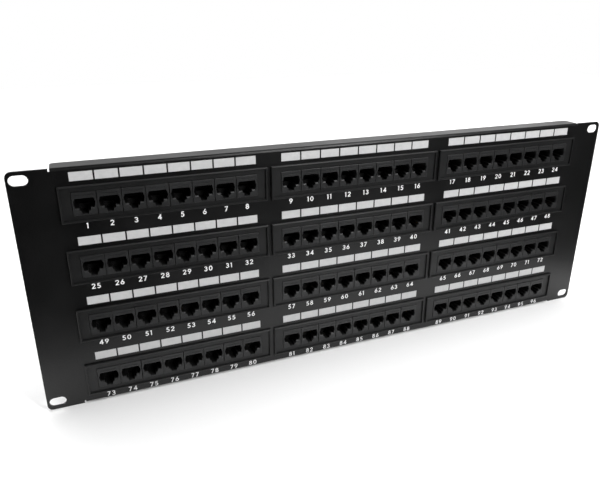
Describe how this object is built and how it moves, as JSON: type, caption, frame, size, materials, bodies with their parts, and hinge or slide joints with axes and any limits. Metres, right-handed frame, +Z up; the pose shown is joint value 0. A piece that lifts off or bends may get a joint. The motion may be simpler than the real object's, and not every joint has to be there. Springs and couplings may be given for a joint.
{
  "type": "rack patch panel",
  "caption": "Black steel rack patch panel with rows of modular jack sockets in snap-in bezels, white write-on fields, and punch-down wire blocks behind.",
  "frame": {"origin": "centre of the four rack slots, on the rear face of the ears", "axes": "+X to the right as seen from the front, +Y to the rear into the rack, +Z up"},
  "size_m": [0.4826, 0.0331, 0.177],
  "materials": {
    "panel_coat": "fine-textured satin black powder coat",
    "label_ink": "matt white screen print",
    "bezel_plastic": "fine-grained black moulded plastic",
    "jack_plastic": "smooth matt charcoal moulded plastic",
    "carrier_plastic": "matt black moulded plastic",
    "contact_gold": "gold-plated spring wire",
    "board_laminate": "green solder mask over glass-fibre board",
    "idc_plastic": "smooth black moulded plastic",
    "clip_metal": "tin-plated spring metal",
    "screw_steel": "zinc-plated steel"
  },
  "bodies": {
    "panel_body": {"front_panel": "panel_coat", "label_fields": "label_ink", "bezel_1": "bezel_plastic", "bezel_2": "bezel_plastic", "bezel_3": "bezel_plastic", "bezel_4": "bezel_plastic", "bezel_5": "bezel_plastic", "bezel_6": "bezel_plastic", "bezel_7": "bezel_plastic", "bezel_8": "bezel_plastic", "bezel_9": "bezel_plastic", "bezel_10": "bezel_plastic", "bezel_11": "bezel_plastic", "bezel_12": "bezel_plastic", "jack_housings_1": "jack_plastic", "jack_housings_2": "jack_plastic", "jack_housings_3": "jack_plastic", "jack_housings_4": "jack_plastic", "jack_housings_5": "jack_plastic", "jack_housings_6": "jack_plastic", "jack_housings_7": "jack_plastic", "jack_housings_8": "jack_plastic", "jack_housings_9": "jack_plastic", "jack_housings_10": "jack_plastic", "jack_housings_11": "jack_plastic", "jack_housings_12": "jack_plastic", "contact_carriers_row_1": "carrier_plastic", "contact_carriers_row_2": "carrier_plastic", "contact_carriers_row_3": "carrier_plastic", "contact_carriers_row_4": "carrier_plastic", "circuit_boards_row_1": "board_laminate", "circuit_boards_row_2": "board_laminate", "circuit_boards_row_3": "board_laminate", "circuit_boards_row_4": "board_laminate", "idc_blocks_row_1": "idc_plastic", "idc_blocks_row_2": "idc_plastic", "idc_blocks_row_3": "idc_plastic", "idc_blocks_row_4": "idc_plastic", "idc_clips_row_1": "clip_metal", "idc_clips_row_2": "clip_metal", "idc_clips_row_3": "clip_metal", "idc_clips_row_4": "clip_metal", "module_screws": "screw_steel"},
    "contact_springs_1": {"contact_springs_1": "contact_gold"},
    "contact_springs_2": {"contact_springs_2": "contact_gold"},
    "contact_springs_3": {"contact_springs_3": "contact_gold"},
    "contact_springs_4": {"contact_springs_4": "contact_gold"},
    "contact_springs_5": {"contact_springs_5": "contact_gold"},
    "contact_springs_6": {"contact_springs_6": "contact_gold"},
    "contact_springs_7": {"contact_springs_7": "contact_gold"},
    "contact_springs_8": {"contact_springs_8": "contact_gold"},
    "contact_springs_9": {"contact_springs_9": "contact_gold"},
    "contact_springs_10": {"contact_springs_10": "contact_gold"},
    "contact_springs_11": {"contact_springs_11": "contact_gold"},
    "contact_springs_12": {"contact_springs_12": "contact_gold"}
  },
  "joints": [
    {"name": "contact_lift_1", "type": "hinge", "parent": "panel_body", "child": "contact_springs_1", "pos_m": [-0.143, 0.0019, 0.06705], "axis": [1, 0, 0], "range_deg": [0, 10], "stiffness_Nm_per_rad": 0.4},
    {"name": "contact_lift_2", "type": "hinge", "parent": "panel_body", "child": "contact_springs_2", "pos_m": [0, 0.0019, 0.06705], "axis": [1, 0, 0], "range_deg": [0, 10], "stiffness_Nm_per_rad": 0.4},
    {"name": "contact_lift_3", "type": "hinge", "parent": "panel_body", "child": "contact_springs_3", "pos_m": [0.143, 0.0019, 0.06705], "axis": [1, 0, 0], "range_deg": [0, 10], "stiffness_Nm_per_rad": 0.4},
    {"name": "contact_lift_4", "type": "hinge", "parent": "panel_body", "child": "contact_springs_4", "pos_m": [-0.143, 0.0019, 0.0226], "axis": [1, 0, 0], "range_deg": [0, 10], "stiffness_Nm_per_rad": 0.4},
    {"name": "contact_lift_5", "type": "hinge", "parent": "panel_body", "child": "contact_springs_5", "pos_m": [0, 0.0019, 0.0226], "axis": [1, 0, 0], "range_deg": [0, 10], "stiffness_Nm_per_rad": 0.4},
    {"name": "contact_lift_6", "type": "hinge", "parent": "panel_body", "child": "contact_springs_6", "pos_m": [0.143, 0.0019, 0.0226], "axis": [1, 0, 0], "range_deg": [0, 10], "stiffness_Nm_per_rad": 0.4},
    {"name": "contact_lift_7", "type": "hinge", "parent": "panel_body", "child": "contact_springs_7", "pos_m": [-0.143, 0.0019, -0.02185], "axis": [1, 0, 0], "range_deg": [0, 10], "stiffness_Nm_per_rad": 0.4},
    {"name": "contact_lift_8", "type": "hinge", "parent": "panel_body", "child": "contact_springs_8", "pos_m": [0, 0.0019, -0.02185], "axis": [1, 0, 0], "range_deg": [0, 10], "stiffness_Nm_per_rad": 0.4},
    {"name": "contact_lift_9", "type": "hinge", "parent": "panel_body", "child": "contact_springs_9", "pos_m": [0.143, 0.0019, -0.02185], "axis": [1, 0, 0], "range_deg": [0, 10], "stiffness_Nm_per_rad": 0.4},
    {"name": "contact_lift_10", "type": "hinge", "parent": "panel_body", "child": "contact_springs_10", "pos_m": [-0.143, 0.0019, -0.0663], "axis": [1, 0, 0], "range_deg": [0, 10], "stiffness_Nm_per_rad": 0.4},
    {"name": "contact_lift_11", "type": "hinge", "parent": "panel_body", "child": "contact_springs_11", "pos_m": [0, 0.0019, -0.0663], "axis": [1, 0, 0], "range_deg": [0, 10], "stiffness_Nm_per_rad": 0.4},
    {"name": "contact_lift_12", "type": "hinge", "parent": "panel_body", "child": "contact_springs_12", "pos_m": [0.143, 0.0019, -0.0663], "axis": [1, 0, 0], "range_deg": [0, 10], "stiffness_Nm_per_rad": 0.4}
  ]
}
